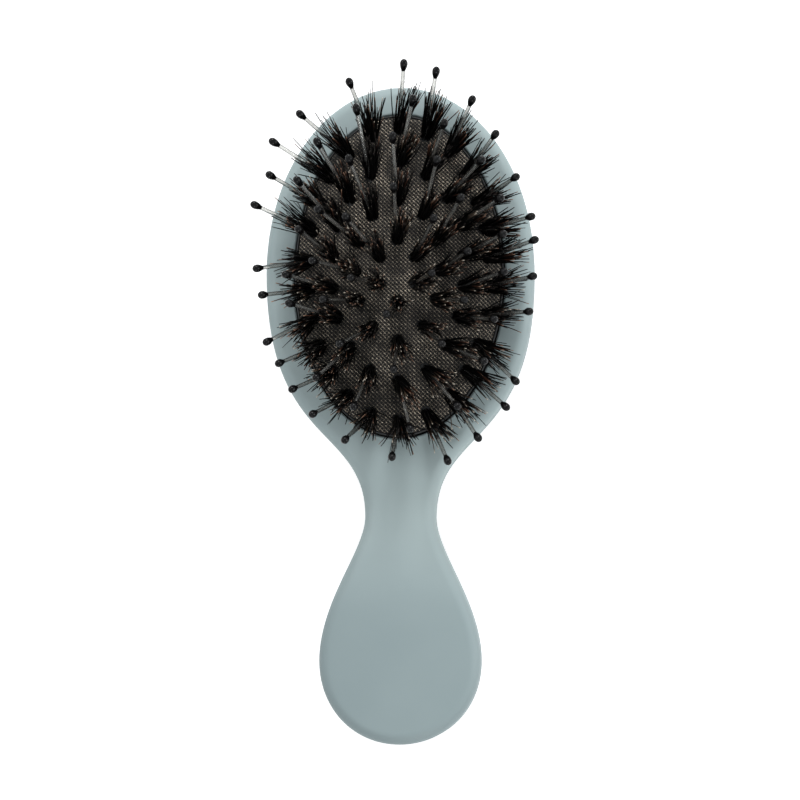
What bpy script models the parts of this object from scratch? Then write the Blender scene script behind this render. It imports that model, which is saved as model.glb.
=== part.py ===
# Small oval air-cushion brush with boar tufts and ball-tipped nylon pins, lying on its flat back.
# +Z points out through the bristles, +Y points from the handle to the head, and the origin is on
# the flat back, half way along the body. Every length is in metres and every angle in degrees.

import math
import random

import bmesh
import bpy
from mathutils import Matrix, Vector, geometry

# Body outline, measured from the top of the head down the middle line
BODY_LENGTH = 0.140
HEAD_HALF_WIDTH = 0.0287
HEAD_RISE = 0.0399                 # top of the head to its widest point
NECK_HALF_WIDTH = 0.0074
NECK_FROM_TOP = 0.0925
HANDLE_HALF_WIDTH = 0.0169
HANDLE_WIDEST_SHARE = 0.634        # along the handle, from the neck to its end
SHOULDER_PULL_SHARE = 0.725        # how far the straight side reaches towards the neck
NECK_UP_PULL_SHARE = 0.373
NECK_DOWN_PULL_SHARE = 0.239
HANDLE_UP_PULL_SHARE = 0.400
HANDLE_END_ROUND_SHARE = 0.572
ARC_STEPS = 11                     # points on each stretch of the half outline
CURVE_STEPS = 12

# Body section
HEAD_THICKNESS = 0.0115
WAIST_THICKNESS = 0.0106
WAIST_ABOVE_NECK = 0.0030
HANDLE_THICKNESS = 0.0128
SWELL_SHARE = 0.40                # along the handle, where it reaches its full thickness
CROWN_DROP = 0.0009                # fall of the handle's face from its middle line to its widest point
FRONT_STEP_SHARES = (0, 0.5, 1)    # points across half of the face
BACK_STEP_SHARES = (0, 1)
FRONT_EDGE_RADIUS = 0.0024
BACK_EDGE_RADIUS = 0.0030
EDGE_STEPS = 4
SEAM_HEIGHT = 0.0052
WALL = 0.0018
TONGUE_HEIGHT = 0.0012
TONGUE_THICKNESS = 0.0007
TONGUE_INSET = 0.0002              # inner face of the wall to the tongue
SEAT_GAP = 0.0003                  # left between any two pieces that touch
OVERRUN = 0.0005                   # how far a tool reaches past what it cuts or joins
MERGE_DISTANCE = 0.00001
SHARP_ANGLE = 35.0

# Posts and ribs inside the body
POST_SHARES = (-0.089, 0.355, 0.75)   # along the handle, the first one above the neck
PEG_RADIUS = 0.0012
PEG_SHOULDER_RADIUS = 0.0022
BOSS_WALL = 0.0012
BOSS_HEIGHT = 0.0070
SOCKET_FLOOR = 0.0024
POST_SIDES = 16
RIB_SHARES = (0.133, 0.567)
RIB_THICKNESS = 0.0012
RIB_TOP_DROP = 0.0006              # how far a rib stays below the seam

# Cushion opening and what sits in it
SIDE_RIM_WIDTH = 0.0062            # edge of the head to the opening, at its widest
TOP_RIM_WIDTH = 0.0064
OPENING_TO_NECK = 0.0163
OPENING_STEPS = 64
BEAD_WIDTH = 0.0010                # the bare rubber edge round the cloth
BEAD_RISE = 0.0005                 # bead above the face of the body
BEAD_CHAMFER = 0.0003
FLANGE_REACH = 0.0022              # rubber flange under the lip of the opening
FLANGE_THICKNESS = 0.0012
PAD_WALL = 0.0011
BEAD_WALL = 0.0017
CROWN_RISE = 0.0048                # middle of the cloth above its edge
CROWN_POWER = 2.4                  # 2 is a parabola, more is a flatter top with steeper sides
CLOTH_THICKNESS = 0.0005
CLOTH_LAP = 0.0004                 # how far the cloth lies on the shoulder of the pad
CUSHION_STEPS = 28
PAD_RING_SHARES = (0.75, 0.45)
CLOTH_RING_SHARES = (0.76, 0.51, 0.29)

# Tray that closes the air chamber behind the pad
TRAY_WALL = 0.0012
TRAY_RIM_CLEARANCE = 0.0003
TRAY_DEPTH = 0.0042                # top of the flange to the underside of the floor
TRAY_DRAFT = 0.0016
TRAY_STEPS = 48
VENT_RADIUS = 0.0008
VENT_SIDES = 12
SUPPORT_RIB_INSET = 0.0016         # tray flange edge to the rib that carries it

# Tufts and pins
RING_NAMES = ("centre", "inner", "middle", "outer")
RING_SHARES = (0.21, 0.47, 0.735, 1.0)
RING_EDGE_INSET = 0.0025           # cloth edge to the outer ring of tufts
TUFT_LEAN = 36.0
TUFT_SWING = 30.0
# Each tuft's lean away from upright, ring by ring and clockwise from the top of the head
LEAN_SHARES = (
    (0.80, 0.70, 0.45, 0.50, 0.45, 0.80),
    (1.15, 0.95, 0.85, 0.65, 0.70, 0.75, 0.80, 0.75, 0.60, 0.70, 0.80, 1.00),
    (1.25, 0.90, 0.95, 1.00, 0.90, 0.90, 0.85, 1.00, 1.20, 1.25, 0.95, 1.00, 0.85, 0.80, 0.60, 1.05,
     1.15, 1.25),
    (1.15, 1.15, 1.00, 0.90, 0.90, 1.05, 1.05, 1.00, 1.00, 1.35, 1.35, 1.30, 1.30, 0.90, 0.80, 0.80,
     0.85, 0.90, 1.10, 0.90, 1.05, 1.20, 1.00, 1.35, 1.10, 0.90),
)
# How far each tuft is turned aside from straight outward, anticlockwise above 0
SWING_SHARES = (
    (-0.10, 1.00, 0.20, -0.30, 0.10, -1.00),
    (0.00, 0.90, 1.00, 0.30, -0.20, -0.40, 0.10, 0.30, 0.20, 0.10, -0.50, -1.00),
    (-0.65, 0.25, 0.05, 0.05, 0.20, 0.25, -0.15, -0.10, -0.05, 0.55, 0.90, 0.90, -0.70, -0.25, -0.80,
     -1.00, -1.00, -1.00),
    (-0.35, 0.45, 0.45, 0.35, -0.15, -0.35, 0.10, 0.05, 0.05, -1.00, -0.60, -0.55, -0.15, -0.05, 0.00,
     0.10, 0.40, 0.70, 1.00, 0.65, 0.85, -0.25, -0.10, 0.05, 0.25, -0.25),
)
ROOT_BAND_THICKNESS = 0.0008
ROOT_BAND_MARGIN = 0.0002
ROOT_BAND_LEAST_STEPS = 24
STRANDS_PER_TUFT = 5
STRAND_RADIUS = 0.00020
STRAND_LENGTH = 0.0125
STRAND_LENGTH_SPREAD_SHARE = 0.14
STRAND_SINK = 0.0004
STRAND_FAN = 8.0
STRAND_SIDES = 3
PIN_RADIUS = 0.00040
PIN_LENGTH = 0.0180
PIN_TO_STRAND = 0.0003
BALL_RADIUS = 0.00080
BALL_LENGTH = 0.0027
BALL_WAIST_SHARES = ((0.0, 0.50), (0.55, 1.0), (0.86, 0.66))   # along the ball, of its radius
PIN_SIDES = 5
HOLE_CLEARANCE = 0.0002
HOLE_SIDES = 5
TUFT_SEED = 11
ARC_LENGTH_STEPS = 720             # used to space the tufts evenly round an oval
LOOSE_PIN_RINGS = ("middle", "outer")

# Levels and places that follow from the sizes above
BODY_TOP = BODY_LENGTH / 2
HANDLE_LENGTH = BODY_LENGTH - NECK_FROM_TOP
WAIST_FROM_TOP = NECK_FROM_TOP - WAIST_ABOVE_NECK
OPENING_HALF_WIDTH = HEAD_HALF_WIDTH - SIDE_RIM_WIDTH
OPENING_HALF_LENGTH = (NECK_FROM_TOP - OPENING_TO_NECK - TOP_RIM_WIDTH) / 2
CUSHION_Y = BODY_TOP - TOP_RIM_WIDTH - OPENING_HALF_LENGTH
TRAY_REACH = FLANGE_REACH + TRAY_RIM_CLEARANCE + TRAY_WALL
HEAD_END_Y = CUSHION_Y - OPENING_HALF_LENGTH - TRAY_REACH
FLANGE_TOP = HEAD_THICKNESS - WALL - SEAT_GAP
FLANGE_BOTTOM = FLANGE_TOP - FLANGE_THICKNESS
TRAY_TOP = FLANGE_BOTTOM - SEAT_GAP
TRAY_FLOOR_BOTTOM = TRAY_TOP - TRAY_DEPTH
TONGUE_OUTER_INSET = WALL - TONGUE_INSET - TONGUE_THICKNESS
CLOTH_EDGE_LEVEL = HEAD_THICKNESS + BEAD_RISE
CLOTH_INSET = SEAT_GAP + BEAD_WIDTH
CLOTH_HALF_WIDTH = OPENING_HALF_WIDTH - CLOTH_INSET
CLOTH_HALF_LENGTH = OPENING_HALF_LENGTH - CLOTH_INSET
UNDER_CLOTH_DROP = CLOTH_THICKNESS + SEAT_GAP
BAND_BOTTOM_DROP = UNDER_CLOTH_DROP + ROOT_BAND_THICKNESS
PAD_TOP_DROP = BAND_BOTTOM_DROP + SEAT_GAP
PAD_BOTTOM_DROP = PAD_TOP_DROP + PAD_WALL
STRAND_CIRCLE = PIN_RADIUS + PIN_TO_STRAND + STRAND_RADIUS
HOLE_RADIUS = (STRAND_CIRCLE + STRAND_RADIUS + HOLE_CLEARANCE
               + UNDER_CLOTH_DROP * math.tan(math.radians(STRAND_FAN))) / math.cos(math.pi / HOLE_SIDES)
BAND_HALF_WIDTH = STRAND_CIRCLE + STRAND_RADIUS + ROOT_BAND_MARGIN

# Finishes: linear colour, roughness, metallic
FINISHES = {
    "shell_plastic": ((0.30, 0.39, 0.405), 0.55, 0.0),
    "tray_plastic": ((0.04, 0.04, 0.045), 0.50, 0.0),
    "black_rubber": ((0.012, 0.013, 0.012), 0.70, 0.0),
    "woven_cloth": ((0.055, 0.045, 0.038), 0.90, 0.0),
    "boar_bristle": ((0.030, 0.020, 0.014), 0.55, 0.0),
    "nylon": ((0.55, 0.55, 0.52), 0.30, 0.0),
}


def clear_scene():
    for item in list(bpy.data.objects):
        bpy.data.objects.remove(item, do_unlink=True)


def new_collection(name):
    collection = bpy.data.collections.new(name)
    bpy.context.scene.collection.children.link(collection)
    return collection


def finish(name):
    material = bpy.data.materials.get(name)
    if material:
        return material
    colour, roughness, metallic = FINISHES[name]
    material = bpy.data.materials.new(name)
    material.use_nodes = True
    shader = material.node_tree.nodes["Principled BSDF"]
    shader.inputs["Base Color"].default_value = (*colour, 1.0)
    shader.inputs["Roughness"].default_value = roughness
    shader.inputs["Metallic"].default_value = metallic
    return material


def add_object(name, mesh, collection, finish_name=None):
    item = bpy.data.objects.new(name, mesh)
    collection.objects.link(item)
    if finish_name:
        mesh.materials.clear()
        mesh.materials.append(finish(finish_name))
        mesh.shade_smooth()
        mesh.set_sharp_from_angle(angle=math.radians(SHARP_ANGLE))
    else:
        item.hide_render = True
        item.display_type = "WIRE"
    return item


def combine(target, tool, operation):
    modifier = target.modifiers.new(tool.name, "BOOLEAN")
    modifier.operation = operation
    modifier.solver = "EXACT"
    modifier.object = tool


def mirror(item):
    modifier = item.modifiers.new("other_half", "MIRROR")
    modifier.merge_threshold = MERGE_DISTANCE


def solidify(item, thickness):
    modifier = item.modifiers.new("wall", "SOLIDIFY")
    modifier.thickness = thickness
    modifier.offset = -1
    modifier.use_even_offset = True


# Outline of the body

def handle_place(share):
    """Y of a place along the handle: 0 at the neck, 1 at the end."""
    return BODY_TOP - NECK_FROM_TOP - HANDLE_LENGTH * share


def half_outline():
    widest_y = BODY_TOP - HEAD_RISE
    neck_y = handle_place(0)
    handle_y = handle_place(HANDLE_WIDEST_SHARE)
    bottom_y = handle_place(1)
    points = []
    for step in range(ARC_STEPS):
        angle = step / ARC_STEPS * math.pi / 2
        points.append(Vector((HEAD_HALF_WIDTH * math.sin(angle), widest_y + HEAD_RISE * math.cos(angle))))
    shoulder = (
        Vector((HEAD_HALF_WIDTH, widest_y)),
        Vector((HEAD_HALF_WIDTH, widest_y + (neck_y - widest_y) * SHOULDER_PULL_SHARE)),
        Vector((NECK_HALF_WIDTH, neck_y + (widest_y - neck_y) * NECK_UP_PULL_SHARE)),
        Vector((NECK_HALF_WIDTH, neck_y)),
    )
    flare = (
        shoulder[-1],
        Vector((NECK_HALF_WIDTH, neck_y + (handle_y - neck_y) * NECK_DOWN_PULL_SHARE)),
        Vector((HANDLE_HALF_WIDTH, handle_y + (neck_y - handle_y) * HANDLE_UP_PULL_SHARE)),
        Vector((HANDLE_HALF_WIDTH, handle_y)),
    )
    end = (
        flare[-1],
        Vector((HANDLE_HALF_WIDTH, handle_y + (bottom_y - handle_y) * HANDLE_END_ROUND_SHARE)),
        Vector((HANDLE_HALF_WIDTH * HANDLE_END_ROUND_SHARE, bottom_y)),
        Vector((0, bottom_y)),
    )
    for stretch in (shoulder, flare, end):
        points.extend(geometry.interpolate_bezier(*stretch, CURVE_STEPS + 1)[:-1])
    points.append(Vector((0, bottom_y)))
    return points


HALF = half_outline()
OUTLINE = HALF + [Vector((-point.x, point.y)) for point in reversed(HALF[1:-1])]


def outline_normals():
    normals = []
    for index in range(len(OUTLINE)):
        along = OUTLINE[(index + 1) % len(OUTLINE)] - OUTLINE[index - 1]
        normals.append(Vector((-along.y, along.x)).normalized())
    return normals


NORMALS = outline_normals()


def half_width_at(y):
    for upper, lower in zip(HALF, HALF[1:]):
        if upper.y >= y >= lower.y:
            share = (upper.y - y) / (upper.y - lower.y)
            return upper.x + (lower.x - upper.x) * share
    return 0


def smooth(share):
    share = min(max(share, 0), 1)
    return share * share * (3 - 2 * share)


def front_level(y):
    waist_y = BODY_TOP - WAIST_FROM_TOP
    if y >= waist_y:
        share = smooth((HEAD_END_Y - y) / (HEAD_END_Y - waist_y))
        return HEAD_THICKNESS + (WAIST_THICKNESS - HEAD_THICKNESS) * share
    swell_y = handle_place(SWELL_SHARE)
    share = smooth((waist_y - y) / (waist_y - swell_y))
    return WAIST_THICKNESS + (HANDLE_THICKNESS - WAIST_THICKNESS) * share


def handle_share(y):
    """0 on the head, rising to 1 where the handle has its full thickness."""
    return smooth((HEAD_END_Y - y) / (HEAD_END_Y - handle_place(SWELL_SHARE)))


def front_face(x, y):
    return front_level(y) - CROWN_DROP * handle_share(y) * (x / HANDLE_HALF_WIDTH) ** 2


def back_face(x, y):
    return 0


# Lofted solids

def body_skin(name, radius, face, seam, shares):
    """The right half of one side of the body, open at the middle line and at the seam."""
    side = math.copysign(1, seam - face(0, 0))
    rows = []
    for point, normal in zip(HALF, NORMALS):
        edge = point - normal * radius
        row = [Vector((edge.x * share, edge.y, face(edge.x * share, edge.y))) for share in shares]
        for step in range(1, EDGE_STEPS + 1):
            angle = step / EDGE_STEPS * math.pi / 2
            place = point - normal * radius * (1 - math.sin(angle))
            drop = radius * (1 - math.cos(angle))
            row.append(Vector((place.x, place.y, face(place.x, place.y) + side * drop)))
        row.append(Vector((point.x, point.y, seam)))
        rows.append(row)
    if side > 0:
        rows.reverse()
    bm = bmesh.new()
    grid = [[bm.verts.new(point) for point in row] for row in rows]
    for upper, lower in zip(grid, grid[1:]):
        for column in range(len(upper) - 1):
            bm.faces.new((upper[column], lower[column], lower[column + 1], upper[column + 1]))
    bmesh.ops.remove_doubles(bm, verts=bm.verts, dist=MERGE_DISTANCE)
    mesh = bpy.data.meshes.new(name)
    bm.to_mesh(mesh)
    bm.free()
    return mesh


def outline_ring(name, outer_inset, inner_inset, low, high, collection):
    """A wall of even thickness that follows the outline of the body."""
    loops = []
    for inset, height in ((inner_inset, low), (outer_inset, low), (outer_inset, high), (inner_inset, high)):
        places = [point - normal * inset for point, normal in zip(OUTLINE, NORMALS)]
        loops.append([Vector((place.x, place.y, height)) for place in places])
    return add_object(name, loft(name, loops, joined=True), collection)


def fan_cap(bm, ring, height):
    middle = sum((vert.co for vert in ring), Vector()) / len(ring)
    tip = bm.verts.new((middle.x, middle.y, height))
    for index in range(len(ring)):
        bm.faces.new((ring[index], tip, ring[(index + 1) % len(ring)]))


def flat_cap(bm, ring):
    bm.faces.new(reversed(ring))


def loft(name, loops, first_cap=None, last_cap=None, joined=False):
    """Skins rings of equal length. A joined one closes from its last ring onto its first."""
    bm = bmesh.new()
    rings = [[bm.verts.new(point) for point in loop] for loop in loops]
    pairs = list(zip(rings, rings[1:]))
    if joined:
        pairs.append((rings[-1], rings[0]))
    for ring, following in pairs:
        for index in range(len(ring)):
            after = (index + 1) % len(ring)
            bm.faces.new((ring[index], ring[after], following[after], following[index]))
    if first_cap:
        first_cap(bm, rings[0])
    if last_cap:
        last_cap(bm, rings[-1])
    if joined or last_cap:
        bmesh.ops.recalc_face_normals(bm, faces=bm.faces)
    mesh = bpy.data.meshes.new(name)
    bm.to_mesh(mesh)
    bm.free()
    return mesh


def oval_loop(half_width, half_length, level, steps, turn=0):
    """A ring round the middle of the cushion, turned by a share of a step."""
    loop = []
    for step in range(steps):
        angle = (step + turn) / steps * math.tau
        x = half_width * math.sin(angle)
        y = half_length * math.cos(angle)
        height = level(x, y) if callable(level) else level
        loop.append(Vector((x, CUSHION_Y + y, height)))
    return loop


def opening_loop(outset, level, steps, turn=0):
    return oval_loop(OPENING_HALF_WIDTH + outset, OPENING_HALF_LENGTH + outset, level, steps, turn)


def oval_prism(name, outset, low, high, collection):
    """Cuts the opening, with no corner on the middle line of the shell."""
    loops = [opening_loop(outset, height, OPENING_STEPS, turn=0.5) for height in (low, high)]
    return add_object(name, loft(name, loops, flat_cap, flat_cap), collection)


def cylinder(name, radius, low, high, place, collection, sides=POST_SIDES):
    mesh = bpy.data.meshes.new(name)
    bm = bmesh.new()
    bmesh.ops.create_cone(bm, cap_ends=True, segments=sides, radius1=radius, radius2=radius, depth=high - low)
    bm.to_mesh(mesh)
    bm.free()
    item = add_object(name, mesh, collection)
    item.location = (place[0], place[1], (low + high) / 2)
    return item


def box(name, low, high, collection):
    mesh = bpy.data.meshes.new(name)
    bm = bmesh.new()
    bmesh.ops.create_cube(bm, size=1)
    bmesh.ops.scale(bm, vec=[top - bottom for bottom, top in zip(low, high)], verts=bm.verts)
    bm.to_mesh(mesh)
    bm.free()
    item = add_object(name, mesh, collection)
    item.location = [(bottom + top) / 2 for bottom, top in zip(low, high)]
    return item


# Body shells

def post_places():
    return [(0, handle_place(share)) for share in POST_SHARES]


def build_front_shell(parts, tools):
    low = SEAM_HEIGHT + SEAT_GAP
    skin = body_skin("front_shell", FRONT_EDGE_RADIUS, front_face, low, FRONT_STEP_SHARES)
    shell = add_object("front_shell", skin, parts, "shell_plastic")
    mirror(shell)
    solidify(shell, WALL)
    opening = oval_prism("opening_tool", 0, FLANGE_TOP - OVERRUN, CLOTH_EDGE_LEVEL + CROWN_RISE, tools)
    combine(shell, opening, "DIFFERENCE")
    rebate = outline_ring(
        "rebate_tool", TONGUE_OUTER_INSET - SEAT_GAP, WALL + OVERRUN,
        low - OVERRUN, SEAM_HEIGHT + TONGUE_HEIGHT + SEAT_GAP, tools,
    )
    combine(shell, rebate, "DIFFERENCE")
    for number, place in enumerate(post_places()):
        ceiling = front_face(*place) - WALL + OVERRUN
        shoulder_low = BOSS_HEIGHT + SEAT_GAP
        name = f"shoulder_tool_{number}"
        combine(shell, cylinder(name, PEG_SHOULDER_RADIUS, shoulder_low, ceiling, place, tools), "UNION")
        peg_low = SOCKET_FLOOR + SEAT_GAP
        peg = cylinder(f"peg_tool_{number}", PEG_RADIUS, peg_low, shoulder_low + OVERRUN, place, tools)
        combine(shell, peg, "UNION")
    return shell


def build_back_shell(parts, tools):
    skin = body_skin("back_shell", BACK_EDGE_RADIUS, back_face, SEAM_HEIGHT, BACK_STEP_SHARES)
    shell = add_object("back_shell", skin, parts, "shell_plastic")
    mirror(shell)
    solidify(shell, WALL)
    tongue = outline_ring(
        "tongue_tool", TONGUE_OUTER_INSET, WALL - TONGUE_INSET,
        SEAM_HEIGHT - OVERRUN, SEAM_HEIGHT + TONGUE_HEIGHT, tools,
    )
    combine(shell, tongue, "UNION")

    floor_bite = WALL - OVERRUN
    outset = TRAY_REACH - SUPPORT_RIB_INSET
    top = TRAY_TOP - TRAY_WALL - SEAT_GAP
    inner = outset - RIB_THICKNESS
    corners = ((inner, floor_bite), (outset, floor_bite), (outset, top), (inner, top))
    loops = [opening_loop(reach, height, TRAY_STEPS) for reach, height in corners]
    support = add_object("support_rib_tool", loft("support_rib_tool", loops, joined=True), tools)
    combine(shell, support, "UNION")
    for number, share in enumerate(RIB_SHARES):
        y = handle_place(share)
        reach = half_width_at(y) - WALL / 2
        low_corner = (-reach, y - RIB_THICKNESS / 2, floor_bite)
        high_corner = (reach, y + RIB_THICKNESS / 2, SEAM_HEIGHT - RIB_TOP_DROP)
        combine(shell, box(f"cross_rib_tool_{number}", low_corner, high_corner, tools), "UNION")
    socket_radius = PEG_RADIUS + SEAT_GAP
    for number, place in enumerate(post_places()):
        name = f"boss_tool_{number}"
        boss = cylinder(name, socket_radius + BOSS_WALL, floor_bite, BOSS_HEIGHT, place, tools)
        combine(shell, boss, "UNION")
        high = BOSS_HEIGHT + OVERRUN
        socket = cylinder(f"socket_tool_{number}", socket_radius, SOCKET_FLOOR, high, place, tools)
        combine(shell, socket, "DIFFERENCE")
    return shell


# Cushion

def crown(x, y):
    """Height of the cloth face above its edge."""
    share = math.hypot(x / CLOTH_HALF_WIDTH, y / CLOTH_HALF_LENGTH)
    return CROWN_RISE * (1 - min(share, 1) ** CROWN_POWER)


def crown_facing(x, y):
    """The direction that the crown faces at a place."""
    share = math.hypot(x / CLOTH_HALF_WIDTH, y / CLOTH_HALF_LENGTH)
    fall = CROWN_RISE * CROWN_POWER * share ** (CROWN_POWER - 2)
    return Vector((fall * x / CLOTH_HALF_WIDTH ** 2, fall * y / CLOTH_HALF_LENGTH ** 2, 1)).normalized()


def crown_level(drop):
    return lambda x, y: CLOTH_EDGE_LEVEL + crown(x, y) - drop


def cloth_loop(share, drop, steps, inset=0):
    half_width = (CLOTH_HALF_WIDTH - inset) * share
    half_length = (CLOTH_HALF_LENGTH - inset) * share
    return oval_loop(half_width, half_length, crown_level(drop), steps)


def build_tray(parts, tools):
    """A dish whose flange and upstanding rim carry the flange of the pad."""
    mouth = -SEAT_GAP - BEAD_WALL - TRAY_WALL
    rim = FLANGE_REACH + TRAY_RIM_CLEARANCE
    floor = TRAY_FLOOR_BOTTOM + TRAY_WALL
    loops = [
        opening_loop(mouth - TRAY_DRAFT, floor, TRAY_STEPS),
        opening_loop(mouth, TRAY_TOP, TRAY_STEPS),
        opening_loop(rim, TRAY_TOP, TRAY_STEPS),
        opening_loop(rim, FLANGE_TOP, TRAY_STEPS),
    ]
    tray = add_object("cushion_tray", loft("cushion_tray", loops, flat_cap), parts, "tray_plastic")
    solidify(tray, TRAY_WALL)
    low = TRAY_FLOOR_BOTTOM - OVERRUN
    vent = cylinder("vent_tool", VENT_RADIUS, low, floor + OVERRUN, (0, CUSHION_Y), tools, VENT_SIDES)
    combine(tray, vent, "DIFFERENCE")
    return tray


def build_pad(parts):
    bead_outer = -SEAT_GAP
    shoulder_inset = CLOTH_LAP + SEAT_GAP
    steps = CUSHION_STEPS
    under_bead = bead_outer - BEAD_WALL
    loops = [cloth_loop(share, PAD_BOTTOM_DROP, steps) for share in reversed(PAD_RING_SHARES)]
    loops += [
        opening_loop(under_bead - PAD_WALL / 2, crown_level(PAD_BOTTOM_DROP), steps),
        opening_loop(under_bead, FLANGE_BOTTOM, steps),
        opening_loop(FLANGE_REACH, FLANGE_BOTTOM, steps),
        opening_loop(FLANGE_REACH, FLANGE_TOP, steps),
        opening_loop(bead_outer, FLANGE_TOP, steps),
        opening_loop(bead_outer, CLOTH_EDGE_LEVEL - BEAD_CHAMFER, steps),
        opening_loop(bead_outer - BEAD_CHAMFER, CLOTH_EDGE_LEVEL, steps),
        opening_loop(-CLOTH_INSET + SEAT_GAP, CLOTH_EDGE_LEVEL, steps),
        opening_loop(-CLOTH_INSET + SEAT_GAP, CLOTH_EDGE_LEVEL - UNDER_CLOTH_DROP, steps),
        cloth_loop(1, UNDER_CLOTH_DROP, steps, inset=CLOTH_LAP),
        cloth_loop(1, PAD_TOP_DROP, steps, inset=shoulder_inset),
    ]
    loops += [cloth_loop(share, PAD_TOP_DROP, steps) for share in PAD_RING_SHARES]
    top = crown_level(0)(0, 0)
    mesh = loft(
        "cushion_pad", loops,
        lambda bm, ring: fan_cap(bm, ring, top - PAD_BOTTOM_DROP),
        lambda bm, ring: fan_cap(bm, ring, top - PAD_TOP_DROP),
    )
    return add_object("cushion_pad", mesh, parts, "black_rubber")


def build_cloth(parts, tools, tufts):
    steps = CUSHION_STEPS
    loops = [cloth_loop(share, CLOTH_THICKNESS, steps) for share in reversed(CLOTH_RING_SHARES)]
    loops += [cloth_loop(1, CLOTH_THICKNESS, steps), cloth_loop(1, 0, steps)]
    loops += [cloth_loop(share, 0, steps) for share in CLOTH_RING_SHARES]
    top = crown_level(0)(0, 0)
    mesh = loft(
        "facing_cloth", loops,
        lambda bm, ring: fan_cap(bm, ring, top - CLOTH_THICKNESS),
        lambda bm, ring: fan_cap(bm, ring, top),
    )
    cloth = add_object("facing_cloth", mesh, parts, "woven_cloth")
    bm = bmesh.new()
    reach = BAND_BOTTOM_DROP + CLOTH_THICKNESS
    for root, turn in tufts:
        placed = Matrix.Translation(root) @ turn.to_matrix().to_4x4()
        bmesh.ops.create_cone(
            bm, cap_ends=True, segments=HOLE_SIDES, radius1=HOLE_RADIUS, radius2=HOLE_RADIUS,
            depth=2 * reach, matrix=placed,
        )
    holes = bpy.data.meshes.new("tuft_hole_tool")
    bm.to_mesh(holes)
    bm.free()
    combine(cloth, add_object("tuft_hole_tool", holes, tools), "DIFFERENCE")
    return cloth


# Tufts and pins

def ring_size(share):
    half_width = (CLOTH_HALF_WIDTH - RING_EDGE_INSET) * share
    half_length = (CLOTH_HALF_LENGTH - RING_EDGE_INSET) * share
    return half_width, half_length


def even_places(share, count, offset=0):
    """Points at equal spacing round an oval, each with the outward direction there."""
    half_width, half_length = ring_size(share)
    points = []
    for step in range(ARC_LENGTH_STEPS + 1):
        angle = step / ARC_LENGTH_STEPS * math.tau
        points.append(Vector((half_width * math.sin(angle), half_length * math.cos(angle))))
    travelled = [0]
    for first, second in zip(points, points[1:]):
        travelled.append(travelled[-1] + (second - first).length)
    places = []
    position = 0
    for number in range(count):
        target = (number + offset) / count * travelled[-1]
        while travelled[position + 1] < target:
            position += 1
        part = (target - travelled[position]) / (travelled[position + 1] - travelled[position])
        place = points[position].lerp(points[position + 1], part)
        outward = Vector((place.x / half_width ** 2, place.y / half_length ** 2)).normalized()
        places.append((place, outward))
    return places


def band_top(x, y):
    return crown_level(UNDER_CLOTH_DROP)(x, y)


def tuft_frames(share, leans, swings):
    """Root point and direction of every tuft in a ring."""
    frames = []
    for (place, outward), lean_share, swing_share in zip(even_places(share, len(leans)), leans, swings):
        root = Vector((place.x, CUSHION_Y + place.y, band_top(place.x, place.y)))
        lean = math.radians(TUFT_LEAN) * lean_share
        heading = outward.copy()
        heading.rotate(Matrix.Rotation(math.radians(TUFT_SWING) * swing_share, 2))
        along = Vector((heading.x * math.sin(lean), heading.y * math.sin(lean), math.cos(lean)))
        frames.append((root, along.to_track_quat("Z", "Y")))
    return frames


def pin_mesh():
    """A nylon pin along +Z from its root, turned from its profile."""
    neck = PIN_LENGTH - BALL_LENGTH
    profile = [Vector((0, 0, PIN_LENGTH))]
    for along, radius in reversed(BALL_WAIST_SHARES):
        profile.append(Vector((BALL_RADIUS * radius, 0, neck + BALL_LENGTH * along)))
    profile[-1].x = PIN_RADIUS
    profile.append(Vector((PIN_RADIUS, 0, 0)))
    profile.append(Vector((0, 0, 0)))
    mesh = bpy.data.meshes.new("pin_profile")
    edges = [(index, index + 1) for index in range(len(profile) - 1)]
    mesh.from_pydata(profile, edges, [])
    item = bpy.data.objects.new("pin_profile", mesh)
    bpy.context.scene.collection.objects.link(item)
    screw = item.modifiers.new("turn", "SCREW")
    screw.steps = PIN_SIDES
    screw.render_steps = PIN_SIDES
    screw.use_merge_vertices = True
    screw.merge_threshold = MERGE_DISTANCE
    depsgraph = bpy.context.evaluated_depsgraph_get()
    turned = bpy.data.meshes.new_from_object(item.evaluated_get(depsgraph))
    turned.name = "nylon_pin"
    bpy.data.objects.remove(item)
    return turned


def strand_frame(root, turn, angle):
    """Where one strand stands beside its pin, and how far along it the backing is reached."""
    place = (STRAND_CIRCLE * math.cos(angle), STRAND_CIRCLE * math.sin(angle), 0)
    fan = Matrix.Rotation(angle, 4, "Z") @ Matrix.Rotation(math.radians(STRAND_FAN), 4, "Y")
    placed = Matrix.Translation(root) @ turn.to_matrix().to_4x4() @ Matrix.Translation(place) @ fan
    facing = crown_facing(root.x, root.y - CUSHION_Y)
    above = (placed.translation - root).dot(facing) + STRAND_SINK
    return placed, -above / placed.col[2].xyz.dot(facing)


def add_strands(bm, root, turn, draw):
    spin = draw.uniform(0, math.tau)
    for strand in range(STRANDS_PER_TUFT):
        placed, foot = strand_frame(root, turn, spin + strand / STRANDS_PER_TUFT * math.tau)
        tip = STRAND_LENGTH * (1 - STRAND_LENGTH_SPREAD_SHARE * draw.random())
        bmesh.ops.create_cone(
            bm, cap_ends=True, segments=STRAND_SIDES, radius1=STRAND_RADIUS, radius2=0,
            depth=tip - foot, matrix=placed @ Matrix.Translation((0, 0, (foot + tip) / 2)),
        )


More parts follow.
